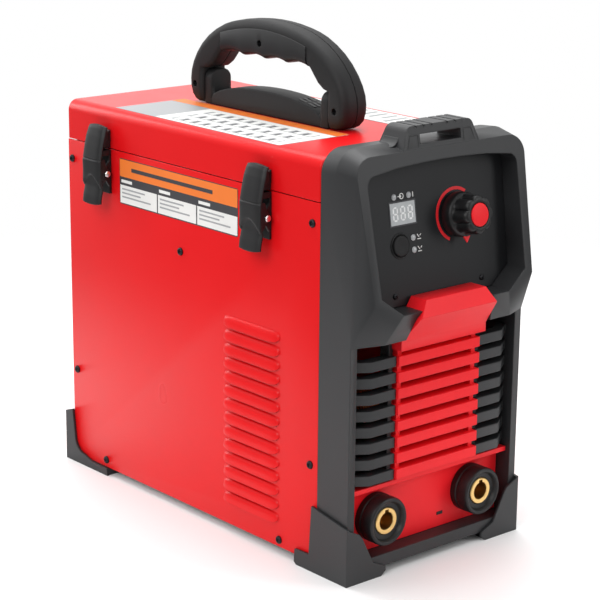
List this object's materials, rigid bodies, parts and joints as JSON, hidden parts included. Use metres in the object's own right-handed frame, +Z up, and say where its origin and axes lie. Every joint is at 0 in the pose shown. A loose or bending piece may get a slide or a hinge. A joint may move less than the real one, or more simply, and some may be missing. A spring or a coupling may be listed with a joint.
{
  "type": "stick welding inverter",
  "caption": "Box-shaped stick welding inverter with a hinged, latched storage lid under a carrying handle, a leaning control hood, a slatted front, bayonet cable sockets and a rear cooling fan",
  "frame": {"origin": "bottom centre of the whole object's box, in the plane the corner guards rest on", "axes": "+Z up, the front with its controls and sockets faces -Y, latches on the -X side, lid hinge on the +X side"},
  "size_m": [0.195, 0.375, 0.383],
  "materials": {
    "paint_red": "glossy red powder coat",
    "trim_red": "satin red moulding",
    "plastic_dark": "textured charcoal moulding",
    "plastic_black": "black moulding",
    "panel_grey": "fine matt panel film",
    "display_grey": "display window",
    "led_grey": "clear lamp lens",
    "brass": "turned brass",
    "copper": "copper and enamelled wire",
    "steel": "zinc-plated steel",
    "aluminium": "extruded aluminium",
    "ferrite": "ferrite, dark grey",
    "board_green": "solder mask",
    "sleeve": "shrink sleeve"
  },
  "bodies": {
    "case": {"base_tray": "steel", "left_side_panel": "paint_red", "right_side_panel": "paint_red", "rear_panel": "paint_red", "storage_tray": "plastic_dark", "front_bezel": "plastic_dark", "front_trim": "trim_red", "socket_plate": "trim_red", "negative_socket_body": "plastic_black", "negative_socket_contact": "brass", "positive_socket_body": "plastic_black", "positive_socket_contact": "brass", "control_panel": "panel_grey", "display_module": "display_grey", "led_input": "led_grey", "led_output": "led_grey", "led_mode_upper": "led_grey", "led_mode_lower": "led_grey", "knob_encoder": "steel", "control_board": "board_green", "front_left_foot": "plastic_dark", "front_right_foot": "plastic_dark", "rear_left_foot": "plastic_dark", "rear_right_foot": "plastic_dark", "hinge_case_leaf": "steel", "hinge_pin": "steel", "front_latch_base": "plastic_black", "front_latch_pin": "steel", "rear_latch_base": "plastic_black", "rear_latch_pin": "steel", "power_switch_housing": "plastic_black", "cord_gland": "plastic_black", "fan_frame": "plastic_black", "fan_guard": "steel", "main_board": "board_green", "heatsink": "aluminium", "transformer_core": "ferrite", "transformer_winding": "copper", "output_choke": "copper", "bus_capacitor_front": "sleeve", "bus_capacitor_rear": "sleeve", "negative_busbar": "copper", "positive_busbar": "copper"},
    "lid_body": {"lid": "paint_red", "hinge_lid_leaf": "steel", "front_latch_keeper": "plastic_black", "rear_latch_keeper": "plastic_black", "handle_base": "plastic_dark", "handle_left_shell": "plastic_dark", "handle_right_shell": "plastic_dark", "handle_grip_insert": "plastic_black"},
    "front_latch": {"front_latch_lever": "plastic_black"},
    "rear_latch": {"rear_latch_lever": "plastic_black"},
    "knob": {"current_knob": "plastic_black", "knob_cap": "trim_red"},
    "button": {"mode_button": "plastic_black"},
    "rocker": {"power_switch_rocker": "plastic_dark"},
    "fan": {"fan_rotor": "plastic_black"}
  },
  "joints": [
    {"name": "lid_hinge", "type": "hinge", "parent": "case", "child": "lid_body", "pos_m": [0.0945, 0.0225, 0.2769], "axis": [0, 1, 0], "range_deg": [0, 100]},
    {"name": "front_latch_rock", "type": "hinge", "parent": "case", "child": "front_latch", "pos_m": [-0.0878, -0.0707, 0.258], "axis": [0, -1, 0], "range_deg": [0, 22]},
    {"name": "rear_latch_rock", "type": "hinge", "parent": "case", "child": "rear_latch", "pos_m": [-0.0878, 0.1275, 0.258], "axis": [0, -1, 0], "range_deg": [0, 22]},
    {"name": "knob_turn", "type": "hinge", "parent": "case", "child": "knob", "pos_m": [0.027, -0.15776, 0.25867], "axis": [0, -0.9882, 0.153], "continuous": true},
    {"name": "mode_button_press", "type": "slide", "parent": "case", "child": "button", "axis": [0, 0.9882, -0.153], "range_m": [0, 0.0015], "stiffness_N_per_m": 900},
    {"name": "power_switch_rock", "type": "hinge", "parent": "case", "child": "rocker", "pos_m": [-0.0415, 0.1698, 0.2025], "axis": [1, 0, 0], "range_deg": [0, 20]},
    {"name": "fan_spin", "type": "hinge", "parent": "case", "child": "fan", "pos_m": [0.0045, 0.157, 0.1185], "axis": [0, 1, 0], "continuous": true}
  ]
}
